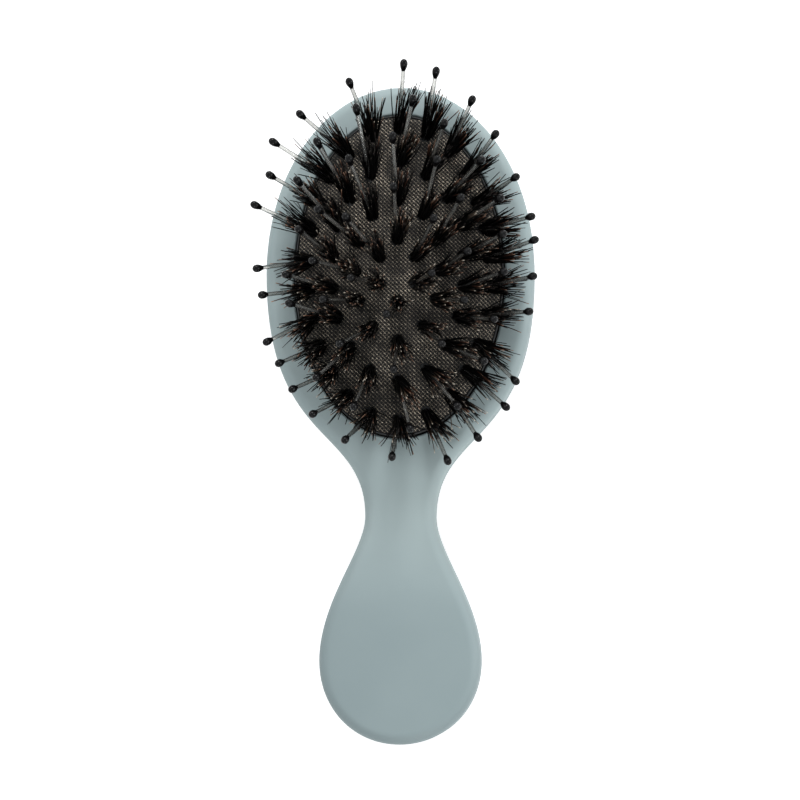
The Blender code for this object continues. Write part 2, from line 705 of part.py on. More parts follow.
def root_band(share, count):
    """The slice of backing that a ring of tufts is rooted in."""
    loops = [[], [], [], []]
    corners = (
        (-BAND_HALF_WIDTH, BAND_BOTTOM_DROP), (BAND_HALF_WIDTH, BAND_BOTTOM_DROP),
        (BAND_HALF_WIDTH, UNDER_CLOTH_DROP), (-BAND_HALF_WIDTH, UNDER_CLOTH_DROP),
    )
    steps = max(2 * count, ROOT_BAND_LEAST_STEPS)
    for place, outward in even_places(share, steps, offset=0.5):
        for loop, (reach, drop) in zip(loops, corners):
            point = place + outward * reach
            loop.append(Vector((point.x, CUSHION_Y + point.y, crown_level(drop)(point.x, point.y))))
    return loops


def build_ring(name, share, leans, swings, pin, parts, tools):
    count = len(leans)
    draw = random.Random(TUFT_SEED + count)
    frames = tuft_frames(share, leans, swings)
    mount = bpy.data.objects.new(f"{name}_press_axis", None)
    mount.location = (0, CUSHION_Y, frames[0][0].z)
    parts.objects.link(mount)

    bm = bmesh.new()
    for root, turn in frames:
        add_strands(bm, root, turn, draw)
    if name not in LOOSE_PIN_RINGS:
        for root, turn in frames:
            sunk = root - turn @ Vector((0, 0, STRAND_SINK))
            before = set(bm.verts)
            bm.from_mesh(pin)
            fresh = [vert for vert in bm.verts if vert not in before]
            bmesh.ops.transform(bm, matrix=Matrix.Translation(sunk) @ turn.to_matrix().to_4x4(), verts=fresh)
    strands = bpy.data.meshes.new(f"{name}_strand_tool")
    bm.to_mesh(strands)
    bm.free()
    tool = add_object(f"{name}_strand_tool", strands, tools)

    band = loft(f"{name}_tufts", root_band(share, count), joined=True)
    ring = add_object(f"{name}_tufts", band, parts, "boar_bristle")
    combine(ring, tool, "UNION")
    for piece in (ring, tool):
        piece.parent = mount
        piece.matrix_parent_inverse = Matrix.Translation(-mount.location)

    if name in LOOSE_PIN_RINGS:
        for number, (root, turn) in enumerate(frames, start=1):
            piece = add_object(f"{name}_pin_{number:02d}", pin, parts)
            piece.hide_render = False
            piece.display_type = "TEXTURED"
            piece.rotation_mode = "QUATERNION"
            piece.rotation_quaternion = turn
            piece.location = root + turn @ Vector((0, 0, SEAT_GAP)) - mount.location
            piece.parent = mount
    return frames


def main():
    clear_scene()
    parts = new_collection("cushion_brush")
    tools = new_collection("shaping_tools")
    build_back_shell(parts, tools)
    build_front_shell(parts, tools)
    build_tray(parts, tools)
    build_pad(parts)
    pin = pin_mesh()
    pin.materials.append(finish("nylon"))
    pin.shade_smooth()
    tufts = []
    for name, share, leans, swings in zip(RING_NAMES, RING_SHARES, LEAN_SHARES, SWING_SHARES):
        tufts.extend(build_ring(name, share, leans, swings, pin, parts, tools))
    build_cloth(parts, tools, tufts)


main()
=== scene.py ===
import math

import bmesh
import bpy
from mathutils import Matrix, Vector, geometry


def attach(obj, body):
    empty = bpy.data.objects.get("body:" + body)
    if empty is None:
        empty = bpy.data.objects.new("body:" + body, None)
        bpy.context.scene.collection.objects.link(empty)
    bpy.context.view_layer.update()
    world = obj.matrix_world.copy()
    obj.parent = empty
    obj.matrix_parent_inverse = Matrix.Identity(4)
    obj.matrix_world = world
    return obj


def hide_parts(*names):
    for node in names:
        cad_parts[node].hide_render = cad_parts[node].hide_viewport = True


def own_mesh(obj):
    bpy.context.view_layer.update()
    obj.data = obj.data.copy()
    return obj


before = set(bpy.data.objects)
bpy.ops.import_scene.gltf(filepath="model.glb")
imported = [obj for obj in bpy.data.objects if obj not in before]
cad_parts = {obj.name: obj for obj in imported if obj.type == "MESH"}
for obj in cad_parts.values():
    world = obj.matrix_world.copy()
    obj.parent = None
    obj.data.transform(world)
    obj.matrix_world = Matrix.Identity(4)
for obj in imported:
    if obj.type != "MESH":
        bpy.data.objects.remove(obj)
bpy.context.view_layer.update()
print("frame loaded:", len(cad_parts), "nodes")


# Node helpers

def addNode(tree, kind, **settings):
    node = tree.nodes.new(kind)
    for name, value in settings.items():
        setattr(node, name, value)
    return node


def feed(tree, socket, value):
    # a socket of another node is linked, anything else is set as the default
    if isinstance(value, bpy.types.NodeSocket):
        tree.links.new(value, socket)
    else:
        socket.default_value = value


def wired(tree, kind, output, inputs, **settings):
    # a node with its inputs given by name or number, which answers with one of its outputs
    node = addNode(tree, kind, **settings)
    for name, value in inputs.items():
        feed(tree, node.inputs[name], value)
    return node.outputs[output]


def calc(tree, operation, *values, clamp=False):
    inputs = dict(enumerate(values))
    return wired(tree, "ShaderNodeMath", 0, inputs, operation=operation, use_clamp=clamp)


def vecCalc(tree, operation, *values):
    return wired(tree, "ShaderNodeVectorMath", 0, dict(enumerate(values)), operation=operation)


def scaled(tree, vector, amount):
    return wired(tree, "ShaderNodeVectorMath", 0, {0: vector, "Scale": amount}, operation="SCALE")


def splitVector(tree, vector):
    node = addNode(tree, "ShaderNodeSeparateXYZ")
    feed(tree, node.inputs[0], vector)
    return node.outputs


def ramp(tree, value, *stops):
    # stops are (position, colour)
    node = addNode(tree, "ShaderNodeValToRGB")
    bar = node.color_ramp
    while len(bar.elements) < len(stops):
        bar.elements.new(1.0)
    for element, (position, colour) in zip(bar.elements, stops):
        element.position = position
        element.color = (*colour, 1.0)
    feed(tree, node.inputs["Fac"], value)
    return node.outputs["Color"]


def twoTone(tree, value, low, high, start=0.30, end=0.70):
    # between two colours, over the middle of what a noise gives
    return ramp(tree, value, (start, low), (end, high))


def blendColour(tree, mode, amount, first, second):
    inputs = {"Factor": amount, 6: first, 7: second}
    return wired(tree, "ShaderNodeMix", 2, inputs, data_type="RGBA", blend_type=mode)


def newMaterial(name, settings=None):
    material = bpy.data.materials.new(name)
    material.use_nodes = True
    shader = material.node_tree.nodes["Principled BSDF"]
    for socketName, value in (settings or {}).items():
        shader.inputs[socketName].default_value = value
    return material, material.node_tree, shader


def bumpInto(tree, shader, height, strength, distance):
    inputs = {"Strength": strength, "Distance": distance, "Height": height}
    feed(tree, shader.inputs["Normal"], wired(tree, "ShaderNodeBump", "Normal", inputs))


def objectPlace(tree):
    return addNode(tree, "ShaderNodeTexCoord").outputs["Object"]


def noise(tree, place, scale, detail=2.0, rough=0.5, output="Fac"):
    inputs = {"Vector": place, "Scale": scale, "Detail": detail, "Roughness": rough}
    return wired(tree, "ShaderNodeTexNoise", output, inputs)


grain = {
    "Height": ("Grain per metre", 3.0),    # the input that gives its scale, and its detail
    "Mottle": ("Mottle per metre", 4.0),
}


def mouldedGrain():
    # fine skin of a moulded surface: a height for the bump and a slow mottle for colour and gloss
    tree = bpy.data.node_groups.new("mouldedGrain", "ShaderNodeTree")
    face = tree.interface
    face.new_socket("Place", in_out="INPUT", socket_type="NodeSocketVector")
    for output, (scale, detail) in grain.items():
        face.new_socket(scale, in_out="INPUT", socket_type="NodeSocketFloat")
        face.new_socket(output, in_out="OUTPUT", socket_type="NodeSocketFloat")
    given = addNode(tree, "NodeGroupInput").outputs
    out = addNode(tree, "NodeGroupOutput").inputs
    for output, (scale, detail) in grain.items():
        feed(tree, out[output], noise(tree, given["Place"], given[scale], detail))
    return tree


grainGroup = mouldedGrain()


def grainIn(tree, grainPerMetre, mottlePerMetre):
    node = addNode(tree, "ShaderNodeGroup", node_tree=grainGroup)
    feed(tree, node.inputs["Place"], objectPlace(tree))
    node.inputs["Grain per metre"].default_value = grainPerMetre
    node.inputs["Mottle per metre"].default_value = mottlePerMetre
    return node.outputs["Height"], node.outputs["Mottle"]


# Finishes

coat = {
    "colour": (0.320, 0.400, 0.412),
    "deepColour": (0.296, 0.374, 0.388),
    "neckPaintedLight": (0.34, 0.30, 0.27), # painted light: how much lighter the coat is painted at the neck
    "neckPaintedLightAt": (-0.018, 0.031),  # middle of that stretch and half its length
    "paintedLightFade": 2.0,                # power of its fall towards the handle
    "headPaintedLight": 0.58,               # share of that painted light that stays on the head
    "shader": {"Specular IOR Level": 0.42},
    "roughness": (0.50, 0.60),
    "grainPerMetre": 7000.0,
    "mottlePerMetre": 55.0,
    "bump": (0.35, 0.00002),        # strength and depth in metres
}


def softTouchPlastic():
    material, tree, shader = newMaterial("softTouchPlastic", coat["shader"])
    height, mottle = grainIn(tree, coat["grainPerMetre"], coat["mottlePerMetre"])
    colour = twoTone(tree, mottle, coat["deepColour"], coat["colour"])
    # painted light: the coat is lighter at the neck and on the head, standing in for light that the shape
    # does not catch
    middle, reach = coat["neckPaintedLightAt"]
    y = splitVector(tree, objectPlace(tree))["Y"]
    away = calc(tree, "DIVIDE", calc(tree, "SUBTRACT", y, middle), reach)
    near = calc(tree, "SUBTRACT", 1.0, calc(tree, "MULTIPLY", away, away), clamp=True)
    paintedOnHead = calc(tree, "MULTIPLY", calc(tree, "GREATER_THAN", away, 0.0), coat["headPaintedLight"])
    share = calc(tree, "MAXIMUM", calc(tree, "POWER", near, coat["paintedLightFade"]), paintedOnHead)
    paintedLight = vecCalc(tree, "ADD", scaled(tree, coat["neckPaintedLight"], share), (1.0, 1.0, 1.0))
    feed(tree, shader.inputs["Base Color"], vecCalc(tree, "MULTIPLY", colour, paintedLight))
    low, high = coat["roughness"]
    feed(tree, shader.inputs["Roughness"], calc(tree, "MULTIPLY_ADD", mottle, high - low, low))
    bumpInto(tree, shader, height, *coat["bump"])
    return material


darkParts = {
    # colour, least roughness, grain per metre
    "trayPlastic": ((0.030, 0.031, 0.034), 0.45, 6000.0),
    "blackRubber": ((0.006, 0.007, 0.007), 0.50, 9000.0),
    "lighter": 1.5,                 # light spots of the mottle, against the colour
    "mottlePerMetre": 140.0,
    "mottleStops": (0.35, 0.75),
    "roughnessSpan": 0.12,
    "bump": (0.4, 0.00003),
}


def mouldedDark(name):
    colour, roughness, grainPerMetre = darkParts[name]
    material, tree, shader = newMaterial(name)
    height, mottle = grainIn(tree, grainPerMetre, darkParts["mottlePerMetre"])
    lighter = tuple(darkParts["lighter"] * part for part in colour)
    tone = twoTone(tree, mottle, colour, lighter, *darkParts["mottleStops"])
    feed(tree, shader.inputs["Base Color"], tone)
    rough = calc(tree, "MULTIPLY_ADD", mottle, darkParts["roughnessSpan"], roughness)
    feed(tree, shader.inputs["Roughness"], rough)
    bumpInto(tree, shader, height, *darkParts["bump"])
    return material


shellFinish = softTouchPlastic()
trayFinish = mouldedDark("trayPlastic")
rubberFinish = mouldedDark("blackRubber")
print("moulded finishes made")


# Body: the two shells share one outline and each has its own section

body = {
    "length": 0.140,
    "headHalfWidth": 0.0287,
    "headRise": 0.0399,             # top of the head to its widest point
    "neckHalfWidth": 0.0074,
    "neckFromTop": 0.0925,
    "handleHalfWidth": 0.0169,
    "handleWidest": 0.634,          # along the handle, 0 at the neck
    "shoulderPull": 0.725,
    "neckUpPull": 0.373,
    "neckDownPull": 0.239,
    "handleUpPull": 0.400,
    "endRound": 0.572,
    "headThickness": 0.0115,
    "waistThickness": 0.0106,
    "waistAboveNeck": 0.0030,
    "handleThickness": 0.0128,
    "swell": 0.40,                  # along the handle, where it is full thickness
    "crownDrop": 0.0009,
    "frontRadius": 0.0024,
    "backRadius": 0.0030,
    "seam": 0.0052,
    "seamGap": 0.0003,
    "seamRound": 0.00018,
    "wall": 0.0018,
    "tongueOuter": 0.0009,          # insets of its two faces
    "tongueInner": 0.0016,
    "tongueHeight": 0.0012,
    "openingHalfWidth": 0.0225,
    "openingHalfLength": 0.0349,
    "topRim": 0.0064,
    "trayReach": 0.0037,            # opening to the rim of the tray under it
    "lipRound": 0.0005,
    "fieldEdge": 0.0012,            # below the head's end, where the rows of the handle begin
    "lipSteps": 6,
    "edgeSteps": 12,
    "arcSteps": 40,
    "curveSteps": 36,
    "acrossSteps": 9,
    "openingSteps": 160,
}
bodyTop = body["length"] / 2
cushionY = bodyTop - body["topRim"] - body["openingHalfLength"]
headEndY = cushionY - body["openingHalfLength"] - body["trayReach"]
neckY = bodyTop - body["neckFromTop"]
handleLength = body["length"] - body["neckFromTop"]
swellY = neckY - handleLength * body["swell"]
waistY = neckY + body["waistAboveNeck"]


def bodyOutline():
    # closed outline, clockwise from the top of the head, with its outward normals
    widestY = bodyTop - body["headRise"]
    handleY = neckY - handleLength * body["handleWidest"]
    bottomY = -bodyTop
    head, neck, handle = body["headHalfWidth"], body["neckHalfWidth"], body["handleHalfWidth"]
    points = []
    for step in range(body["arcSteps"]):
        angle = step / body["arcSteps"] * math.pi / 2
        points.append(Vector((head * math.sin(angle), widestY + body["headRise"] * math.cos(angle))))
    stretches = (
        ((head, widestY), (head, widestY + (neckY - widestY) * body["shoulderPull"]),
         (neck, neckY + (widestY - neckY) * body["neckUpPull"]), (neck, neckY)),
        ((neck, neckY), (neck, neckY + (handleY - neckY) * body["neckDownPull"]),
         (handle, handleY + (neckY - handleY) * body["handleUpPull"]), (handle, handleY)),
        ((handle, handleY), (handle, handleY + (bottomY - handleY) * body["endRound"]),
         (handle * body["endRound"], bottomY), (0, bottomY)),
    )
    for stretch in stretches:
        knots = [Vector(knot) for knot in stretch]
        points.extend(geometry.interpolate_bezier(*knots, body["curveSteps"] + 1)[:-1])
    points.append(Vector((0, bottomY)))
    points += [Vector((-point.x, point.y)) for point in reversed(points[1:-1])]
    normals = []
    for index, point in enumerate(points):
        along = points[(index + 1) % len(points)] - points[index - 1]
        normals.append(Vector((-along.y, along.x)).normalized())
    return points, normals


outline, outlineNormals = bodyOutline()
halfCount = len(outline) // 2


def smoothStep(share):
    share = min(max(share, 0), 1)
    return share * share * (3 - 2 * share)


def frontLevel(x, y):
    # height of the front face; the handle's falls a little from its middle line
    if y >= waistY:
        part = smoothStep((headEndY - y) / (headEndY - waistY))
        level = body["headThickness"] + (body["waistThickness"] - body["headThickness"]) * part
    else:
        part = smoothStep((waistY - y) / (waistY - swellY))
        level = body["waistThickness"] + (body["handleThickness"] - body["waistThickness"]) * part
    crown = smoothStep((headEndY - y) / (headEndY - swellY)) * (x / body["handleHalfWidth"]) ** 2
    return level - body["crownDrop"] * crown


def ringAt(bm, places, height):
    # a ring of corners, at one height or on a face
    level = height if callable(height) else lambda x, y: height
    return [bm.verts.new((x, y, level(x, y))) for x, y in places]


def ringOn(bm, inset, height):
    places = [point - normal * inset for point, normal in zip(outline, outlineNormals)]
    return ringAt(bm, places, height)


def ovalPoints(halfWidth, halfLength, steps):
    # clockwise from the top, about the middle of the oval
    for step in range(steps):
        angle = step / steps * math.tau
        yield halfWidth * math.sin(angle), halfLength * math.cos(angle)


def ovalRing(bm, outset, height, steps):
    oval = ovalPoints(body["openingHalfWidth"] + outset, body["openingHalfLength"] + outset, steps)
    return ringAt(bm, [(x, cushionY + y) for x, y in oval], height)


def skinRings(bm, rings, joined=False):
    pairs = list(zip(rings, rings[1:])) + ([(rings[-1], rings[0])] if joined else [])
    for ring, following in pairs:
        for index in range(len(ring)):
            after = (index + 1) % len(ring)
            bm.faces.new((ring[index], ring[after], following[after], following[index]))


def closeFan(bm, ring, middle):
    point = bm.verts.new(middle)
    for pair in zip(ring, ring[1:] + ring[:1]):
        bm.faces.new((*pair, point))


def ringEdges(bm, ring):
    return [bm.edges.get(pair) or bm.edges.new(pair) for pair in zip(ring, ring[1:] + ring[:1])]


def quarter(radius, steps):
    # (inset, drop) pairs round a quarter turn, from the face to the side
    for step in range(steps + 1):
        angle = step / steps * math.pi / 2
        yield radius * (1 - math.sin(angle)), radius * (1 - math.cos(angle))


def fillFace(bm, ring, hole, level):
    # rows across the handle, then one flat field round the opening
    fieldY = headEndY - body["fieldEdge"]
    cut = next(index for index in range(halfCount) if ring[index].co.y < fieldY)
    rows = []
    for index in range(cut, halfCount):
        right, left = ring[index], ring[-index]
        row = [right]
        for step in range(1, 2 * body["acrossSteps"]):
            x, y = right.co.x * (1 - step / body["acrossSteps"]), right.co.y
            row.append(bm.verts.new((x, y, level(x, y))))
        rows.append(row + [left])
    for upper, lower in zip(rows, rows[1:]):
        for column in range(len(upper) - 1):
            bm.faces.new((upper[column], upper[column + 1], lower[column + 1], lower[column]))
    tip = ring[halfCount]
    for first, second in zip(rows[-1], rows[-1][1:]):
        bm.faces.new((first, second, tip))
    head = ring[:cut + 1] + rows[0][1:-1] + ring[len(ring) - cut:]
    edges = ringEdges(bm, head) + ringEdges(bm, hole)
    bmesh.ops.triangle_fill(bm, use_beauty=True, edges=edges, normal=(0, 0, 1))


def finishMesh(bm, name, sharpAngle=40.0):
    bmesh.ops.recalc_face_normals(bm, faces=bm.faces)
    mesh = bpy.data.meshes.new(name)
    bm.to_mesh(mesh)
    bm.free()
    mesh.shade_smooth()
    mesh.set_sharp_from_angle(angle=math.radians(sharpAngle))
    return mesh


def newObject(name, data):
    made = bpy.data.objects.new(name, data)
    bpy.context.scene.collection.objects.link(made)
    return made


def addPiece(name, mesh, bodyName, slotName, *materials):
    piece = newObject(name, mesh)
    for material in materials:
        if material.name not in mesh.materials:
            mesh.materials.append(material)
    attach(piece, bodyName)
    return piece


def faceBelow(drop, wall=0):
    # the front face, or the inside of its wall, let down by drop
    return lambda x, y: frontLevel(x, y) - wall - drop


def makeFrontShell():
    bm = bmesh.new()
    radius, wall, steps = body["frontRadius"], body["wall"], body["edgeSteps"]
    soft, low = body["seamRound"], body["seam"] + body["seamGap"]
    rebate, top = body["tongueOuter"] - body["seamGap"], low + body["tongueHeight"]
    rings = [ringOn(bm, inset, faceBelow(drop)) for inset, drop in quarter(radius, steps)]
    for inset, height in ((0, low + soft), (soft, low), (rebate, low), (rebate, top), (wall, top)):
        rings.append(ringOn(bm, inset, height))
    inside = []
    for inset, drop in quarter(radius - wall, steps // 2):
        inside.append(ringOn(bm, wall + inset, faceBelow(drop, wall)))
    rings += reversed(inside)
    skinRings(bm, rings)

    oval = body["openingSteps"]
    lipRings = []
    for outset, drop in quarter(body["lipRound"], body["lipSteps"]):
        lipRings.append(ovalRing(bm, outset, faceBelow(drop), oval))
    lipRings.append(ovalRing(bm, 0, faceBelow(wall), oval))
    skinRings(bm, lipRings)
    fillFace(bm, rings[0], lipRings[0], frontLevel)
    fillFace(bm, rings[-1], lipRings[-1], faceBelow(wall))
    return finishMesh(bm, "frontShell")


def makeBackShell():
    bm = bmesh.new()
    radius, wall, steps = body["backRadius"], body["wall"], body["edgeSteps"]
    seam, soft, top = body["seam"], body["seamRound"], body["seam"] + body["tongueHeight"]
    outer, inner = body["tongueOuter"], body["tongueInner"]
    rings = [ringOn(bm, inset, drop) for inset, drop in quarter(radius, steps)]
    for inset, height in ((0, seam - soft), (soft, seam), (outer, seam), (outer, top), (inner, top),
                          (inner, seam), (wall, seam)):
        rings.append(ringOn(bm, inset, height))
    inside = [ringOn(bm, wall + inset, wall + drop) for inset, drop in quarter(radius - wall, steps // 2)]
    rings += reversed(inside)
    skinRings(bm, rings)
    for ring in (rings[0], rings[-1]):
        bmesh.ops.triangle_fill(bm, use_beauty=True, edges=ringEdges(bm, ring), normal=(0, 0, 1))
    return finishMesh(bm, "backShell")


frontShell = addPiece("front_shell_skin", makeFrontShell(), "handle_body", "shell_plastic", shellFinish)
backShell = addPiece("back_shell_skin", makeBackShell(), "handle_body", "shell_plastic", shellFinish)
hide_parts("front_shell")
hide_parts("back_shell")
print("shells made:", len(frontShell.data.polygons), len(backShell.data.polygons))

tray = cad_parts["cushion_tray"]
tray.data.materials.clear()
tray.data.materials.append(trayFinish)
tray.data.shade_smooth()


# Cushion: rubber bead and flange, the domed pad, and the cloth stretched over it

cushion = {
    "beadGap": 0.0003,              # opening to the bead
    "beadWidth": 0.00038,
    "beadRise": 0.0005,             # above the face of the head
    "beadRound": 0.00016,
    "beadSteps": 5,
    "beadDepth": 0.0017,
    "flangeReach": 0.0022,
    "flangeTop": 0.0094,
    "flangeBottom": 0.0082,
    "padDrop": 0.0021,              # cloth face to the top of the pad
    "padWall": 0.0011,
    "padGap": 0.0001,               # bead to the rim of the pad
    "padRings": 14,
    "crownRise": 0.0048,
    "crownPower": 2.4,
    "clothInset": 0.0013,
    "clothLap": 0.0005,             # cloth carried out over the shoulder of the bead
    "clothThickness": 0.00045,
    "clothSharp": 80.0,             # edges turned less than this are smooth
    "wovenShare": 0.985,            # the yarns end here, as a share of the way out to the edge
    "rimShare": 0.93,               # open edges beyond this meet the hem, the rest are tuft holes
    "hemSteps": 220,
    "yarnPitch": 0.00062,
    "yarnRise": 0.00011,
    "underCloth": 0.0008,
    "ledgeDrop": 0.0020,            # shoulder of the bead under the edge of the cloth
    "keep": 0.595,                  # share of the cloth's height left when pressed
    "padKeep": 0.15,                # the pad goes lower, to leave room for the backing
    "padFloor": 0.0088,             # height at which the pad does not move
    "steps": 96,
}
clothHalfWidth = body["openingHalfWidth"] - cushion["clothInset"]
clothHalfLength = body["openingHalfLength"] - cushion["clothInset"]
clothEdge = body["headThickness"] + cushion["beadRise"]


def clothShare(x, y):
    # 0 at the middle of the cushion, from where y is measured, and 1 at the edge of the cloth
    return math.hypot(x / clothHalfWidth, y / clothHalfLength)


def onCrown(x, y, drop):
    # a place on the crown of the cloth, or that far under it
    rise = cushion["crownRise"] * (1 - min(clothShare(x, y), 1) ** cushion["crownPower"])
    return x, cushionY + y, clothEdge + rise - drop


def makeBead():
    bm = bmesh.new()
    outer = -cushion["beadGap"]
    inner = outer - cushion["beadWidth"]
    under = outer - cushion["beadDepth"]
    top, ledge = clothEdge, clothEdge - cushion["ledgeDrop"]
    reach, flangeTop, flangeBottom = cushion["flangeReach"], cushion["flangeTop"], cushion["flangeBottom"]
    bend = list(quarter(cushion["beadRound"], cushion["beadSteps"]))
    corners = [(under, flangeBottom), (reach, flangeBottom), (reach, flangeTop), (outer, flangeTop)]
    corners += [(outer - inset, top - drop) for inset, drop in reversed(bend)]
    corners += [(inner + inset, top - drop) for inset, drop in bend]
    corners += [(inner, ledge), (under, ledge)]
    rings = [ovalRing(bm, outset, height, cushion["steps"]) for outset, height in corners]
    skinRings(bm, rings, joined=True)
    return finishMesh(bm, "cushionBead")


def makePad():
    bm = bmesh.new()
    inset = cushion["beadGap"] + cushion["beadDepth"] + cushion["padGap"]
    halfWidth, halfLength = body["openingHalfWidth"] - inset, body["openingHalfLength"] - inset
    top, bottom, count = cushion["padDrop"], cushion["padDrop"] + cushion["padWall"], cushion["padRings"]
    shares = [step / count for step in range(1, count + 1)]
    rings = []
    for drop, order in ((top, shares), (bottom, shares[::-1])):
        for share in order:
            oval = ovalPoints(halfWidth * share, halfLength * share, cushion["steps"])
            rings.append([bm.verts.new(onCrown(x, y, drop)) for x, y in oval])
    skinRings(bm, rings)
    closeFan(bm, rings[0], onCrown(0, 0, top))
    closeFan(bm, rings[-1], onCrown(0, 0, bottom))
    return finishMesh(bm, "cushionPad")


bead = addPiece("cushion_bead", makeBead(), "handle_body", "black_rubber", rubberFinish)
pad = addPiece("cushion_pad_dome", makePad(), "handle_body", "black_rubber", rubberFinish)
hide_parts("cushion_pad")
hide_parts("cushion_pad")
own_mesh(pad)
print("pad made")


# Places of the tufts: even steps round four ovals

tufts = {
    "rings": (("centre", 0.21), ("inner", 0.47), ("middle", 0.735), ("outer", 1.0)),
    "edgeInset": 0.0025,            # cloth edge to the outer ring
    "ovalSteps": 720,               # of the oval that the tufts are spaced along
    "lean": 36.0,
    "swing": 30.0,
    "pinLength": 0.0180,
    "pinSeat": 0.0003,
    "pinRadius": 0.00047,
    "ballRadius": 0.00084,
    "ballLength": 0.0027,
    "ballOverlap": 0.0001,          # ball tip over the end of its shaft
    "ballPoint": 0.00003,
    "bandHalfWidth": 0.0013,
    "bandThickness": 0.0008,
    "bandSteps": 24,                # fewest steps round a slice of the backing
    "holeRadius": 0.0012,
}
# shares of the lean from upright and of the swing aside, tuft by tuft, clockwise from the top
leanShares = {
    "centre": (0.80, 0.70, 0.45, 0.50, 0.45, 0.80),
    "inner": (1.15, 0.95, 0.85, 0.65, 0.70, 0.75, 0.80, 0.75, 0.60, 0.70, 0.80, 1.00),
    "middle": (1.25, 0.90, 0.95, 1.00, 0.90, 0.90, 0.85, 1.00, 1.20, 1.25, 0.95, 1.00, 0.85, 0.80, 0.60,
               1.05, 1.15, 1.25),
    "outer": (1.15, 1.15, 1.00, 0.90, 0.90, 1.05, 1.05, 1.00, 1.00, 1.35, 1.35, 1.30, 1.30, 0.90, 0.80,
              0.80, 0.85, 0.90, 1.10, 0.90, 1.05, 1.20, 1.00, 1.35, 1.10, 0.90),
}
swingShares = {
    "centre": (-0.10, 1.00, 0.20, -0.30, 0.10, -1.00),
    "inner": (0.00, 0.90, 1.00, 0.30, -0.20, -0.40, 0.10, 0.30, 0.20, 0.10, -0.50, -1.00),
    "middle": (-0.65, 0.25, 0.05, 0.05, 0.20, 0.25, -0.15, -0.10, -0.05, 0.55, 0.90, 0.90, -0.70, -0.25,
               -0.80, -1.00, -1.00, -1.00),
    "outer": (-0.35, 0.45, 0.45, 0.35, -0.15, -0.35, 0.10, 0.05, 0.05, -1.00, -0.60, -0.55, -0.15,
              -0.05, 0.00, 0.10, 0.40, 0.70, 1.00, 0.65, 0.85, -0.25, -0.10, 0.05, 0.25, -0.25),
}

view = {
    "target": Vector((0.00018, 0.00195, 0.0110)),
    "pitch": 7.0,                   # towards the handle
    "roll": 4.5,                    # towards the right
    "distance": 0.45,
    "metresPerPixel": 0.0002112,
    "frame": 800,
    "sensor": 36.0,
    "clip": (0.01, 20.0),
}


def addCamera():
    data = bpy.data.cameras.new("viewCamera")
    camera = newObject("viewCamera", data)
    pitch, roll = math.radians(view["pitch"]), math.radians(view["roll"])
    back = Vector((math.tan(roll), -math.tan(pitch), 1)).normalized()
    right = Vector((0, 1, 0)).cross(back).normalized()
    up = back.cross(right)
    place = view["target"] + back * view["distance"]
    camera.matrix_world = Matrix.Translation(place) @ Matrix((right, up, back)).transposed().to_4x4()
    focal = view["distance"] / view["metresPerPixel"]
    data.sensor_width = view["sensor"]
    data.lens = focal * view["sensor"] / view["frame"]
    data.clip_start, data.clip_end = view["clip"]
    bpy.context.scene.camera = camera


addCamera()


def evenPlaces(share, count, offset=0.0):
    # places an equal way apart round an oval, each with its outward direction
    halfWidth = (clothHalfWidth - tufts["edgeInset"]) * share
    halfLength = (clothHalfLength - tufts["edgeInset"]) * share
    points = [Vector(point) for point in ovalPoints(halfWidth, halfLength, tufts["ovalSteps"])]
    points.append(points[0])
    travelled = [0.0]
    for first, second in zip(points, points[1:]):
        travelled.append(travelled[-1] + (second - first).length)
    places, position = [], 0
    for number in range(count):
        target = (number + offset) / count * travelled[-1]
        while travelled[position + 1] < target:
            position += 1
        part = (target - travelled[position]) / (travelled[position + 1] - travelled[position])
        place = points[position].lerp(points[position + 1], part)
        places.append((place, Vector((place.x / halfWidth ** 2, place.y / halfLength ** 2)).normalized()))
    return places


def tuftFrames(name, share):
    # root and direction of every tuft of a ring
    leans, swings = leanShares[name], swingShares[name]
    frames = []
    for (place, outward), leanShare, swingShare in zip(evenPlaces(share, len(leans)), leans, swings):
        root = Vector(onCrown(*place, cushion["underCloth"]))
        lean = math.radians(tufts["lean"]) * leanShare
        outward.rotate(Matrix.Rotation(math.radians(tufts["swing"]) * swingShare, 2))
        along = Vector((outward.x * math.sin(lean), outward.y * math.sin(lean), math.cos(lean)))
        frames.append((root, along))
    return frames


tuftRings = {name: tuftFrames(name, share) for name, share in tufts["rings"]}


# Facing cloth: a plain weave laid at 45 degrees, opened where the tufts come through

def makeCloth():
    bm = bmesh.new()
    pitch = cushion["yarnPitch"] / 2
    roots = [root for frames in tuftRings.values() for root, along in frames]
    count = int(clothHalfLength / pitch)
    diagonal = math.sqrt(0.5)
    grid = {}
    for column in range(-count, count + 1):
        for row in range(-count, count + 1):
            x = (column - row) * pitch * diagonal
            y = (column + row) * pitch * diagonal
            if clothShare(x, y) <= cushion["wovenShare"]:
                fall = cushion["yarnRise"] * (column % 2 + row % 2) / 2
                grid[column, row] = bm.verts.new(onCrown(x, y, fall))
    for (column, row), first in grid.items():
        corners = [grid.get((column + over, row + up)) for over, up in ((1, 0), (1, 1), (0, 1))]
        if None in corners:
            continue
        middle = sum((vert.co for vert in corners), first.co) / 4
        if min((middle.xy - root.xy).length for root in roots) > tufts["holeRadius"]:
            bm.faces.new((first, *corners))
    bmesh.ops.delete(bm, geom=[vert for vert in bm.verts if not vert.link_faces], context="VERTS")
    rim = []
    for edge in bm.edges:
        x, y = edge.verts[0].co.xy
        if edge.is_boundary and clothShare(x, y - cushionY) > cushion["rimShare"]:
            rim.append(edge)
    lap = cushion["clothLap"]
    hem = ovalPoints(clothHalfWidth + lap, clothHalfLength + lap, cushion["hemSteps"])
    ring = [bm.verts.new(onCrown(x, y, cushion["yarnRise"])) for x, y in hem]
    bmesh.ops.triangle_fill(bm, use_beauty=True, edges=rim + ringEdges(bm, ring), normal=(0, 0, 1))
    return finishMesh(bm, "facingCloth", cushion["clothSharp"])


